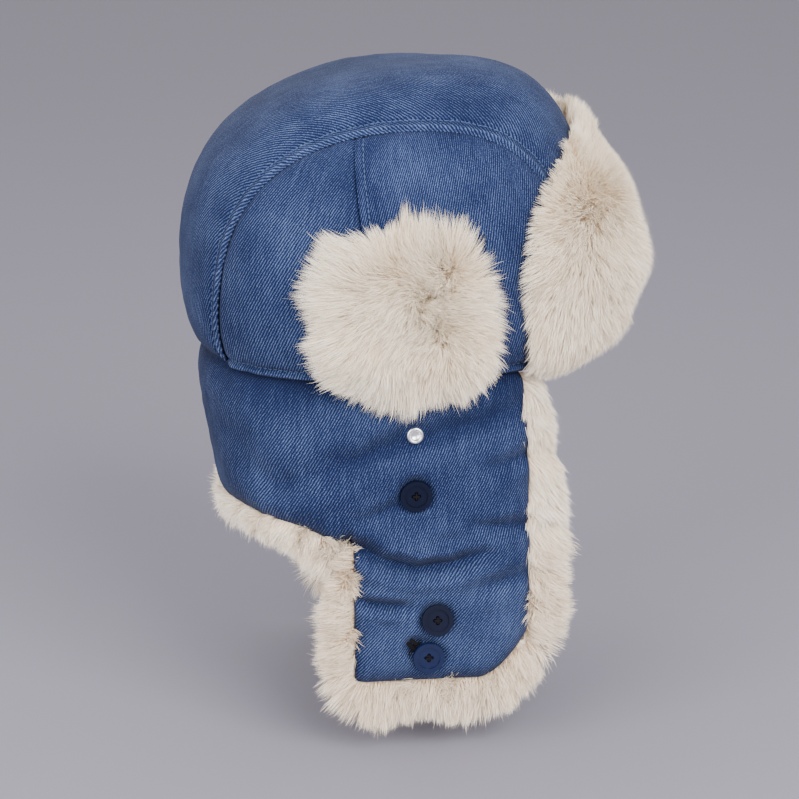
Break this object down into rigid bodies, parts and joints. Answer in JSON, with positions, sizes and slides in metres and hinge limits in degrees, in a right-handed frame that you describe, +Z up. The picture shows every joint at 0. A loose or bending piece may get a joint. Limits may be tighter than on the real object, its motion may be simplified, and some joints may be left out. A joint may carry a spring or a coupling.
{
  "type": "trapper hat",
  "caption": "Padded denim trapper hat lined with fur, with a turned-up fur front flap, hanging ear flaps, fold-up chin tabs and fur ear patches.",
  "frame": {"origin": "centre of the head opening, at the seam between the crown and the neck curtain", "axes": "+Z up, -Y towards the front of the hat, +X towards the wearer's left"},
  "size_m": [0.249, 0.2776, 0.363],
  "materials": {
    "denim": "blue cotton twill, topstitched",
    "denim_pale": "blue cotton twill, a little more worn",
    "fur": "long cream rabbit fur",
    "fur_lining": "cream rabbit fur, shorter",
    "wadding": "white cotton wadding",
    "lining": "dark quilted lining",
    "sweatband": "dark woven tape",
    "backing": "plain blue cotton",
    "button_navy": "dark navy, nearly matt",
    "button_blue": "shiny marbled blue",
    "thread": "dark waxed thread",
    "stud": "bright pressed metal",
    "socket": "pressed metal"
  },
  "bodies": {
    "crown": {"crown_top_strip": "denim", "right_front_crown_panel": "denim_pale", "right_rear_crown_panel": "denim", "left_front_crown_panel": "denim_pale", "left_rear_crown_panel": "denim", "crown_wadding": "wadding", "crown_lining": "lining", "sweatband": "sweatband", "neck_curtain_denim": "denim", "neck_curtain_fur": "fur_lining"},
    "front_flap": {"front_flap_backing": "backing", "front_flap_fur": "fur"},
    "right_ear_flap": {"right_ear_flap_denim": "denim", "right_ear_flap_fur": "fur_lining", "right_press_stud": "stud", "right_upper_button": "button_navy", "right_upper_button_thread": "thread"},
    "right_chin_tab": {"right_chin_tab_denim": "denim", "right_chin_tab_fur": "fur_lining", "right_tilted_button": "button_navy", "right_lower_button": "button_blue", "right_tab_button_threads": "thread", "right_buttonhole_stitching": "thread"},
    "right_ear_patch": {"right_ear_patch_backing": "backing", "right_ear_patch_fur": "fur", "right_press_socket": "socket"},
    "left_ear_flap": {"left_ear_flap_denim": "denim", "left_ear_flap_fur": "fur_lining", "left_press_stud": "stud", "left_upper_button": "button_navy", "left_upper_button_thread": "thread"},
    "left_chin_tab": {"left_chin_tab_denim": "denim", "left_chin_tab_fur": "fur_lining", "left_tilted_button": "button_navy", "left_lower_button": "button_blue", "left_tab_button_threads": "thread", "left_buttonhole_stitching": "thread"},
    "left_ear_patch": {"left_ear_patch_backing": "backing", "left_ear_patch_fur": "fur", "left_press_socket": "socket"}
  },
  "joints": [
    {"name": "front_flap_fold", "type": "hinge", "parent": "crown", "child": "front_flap", "pos_m": [0, -0.1125, 0.001], "axis": [1, 0, 0], "range_deg": [0, 90]},
    {"name": "right_ear_flap_lift", "type": "hinge", "parent": "crown", "child": "right_ear_flap", "pos_m": [-0.09246, -0.0225, -0.0008], "axis": [-0.1463, 0.9892, 0], "range_deg": [0, 70]},
    {"name": "right_chin_tab_fold", "type": "hinge", "parent": "right_ear_flap", "child": "right_chin_tab", "pos_m": [-0.1018, -0.0225, -0.10915], "axis": [-0.0334, 0.9994, 0], "range_deg": [0, 155]},
    {"name": "right_ear_patch_lift", "type": "hinge", "parent": "crown", "child": "right_ear_patch", "pos_m": [-0.10009, -0.003, 0.085], "axis": [-0.012, 0.9999, 0], "range_deg": [0, 80]},
    {"name": "left_ear_flap_lift", "type": "hinge", "parent": "crown", "child": "left_ear_flap", "pos_m": [0.09246, -0.0225, -0.0008], "axis": [-0.1463, -0.9892, 0], "range_deg": [0, 70]},
    {"name": "left_chin_tab_fold", "type": "hinge", "parent": "left_ear_flap", "child": "left_chin_tab", "pos_m": [0.1018, -0.0225, -0.10915], "axis": [-0.0334, -0.9994, 0], "range_deg": [0, 155]},
    {"name": "left_ear_patch_lift", "type": "hinge", "parent": "crown", "child": "left_ear_patch", "pos_m": [0.10009, -0.003, 0.085], "axis": [-0.012, -0.9999, 0], "range_deg": [0, 80]}
  ]
}
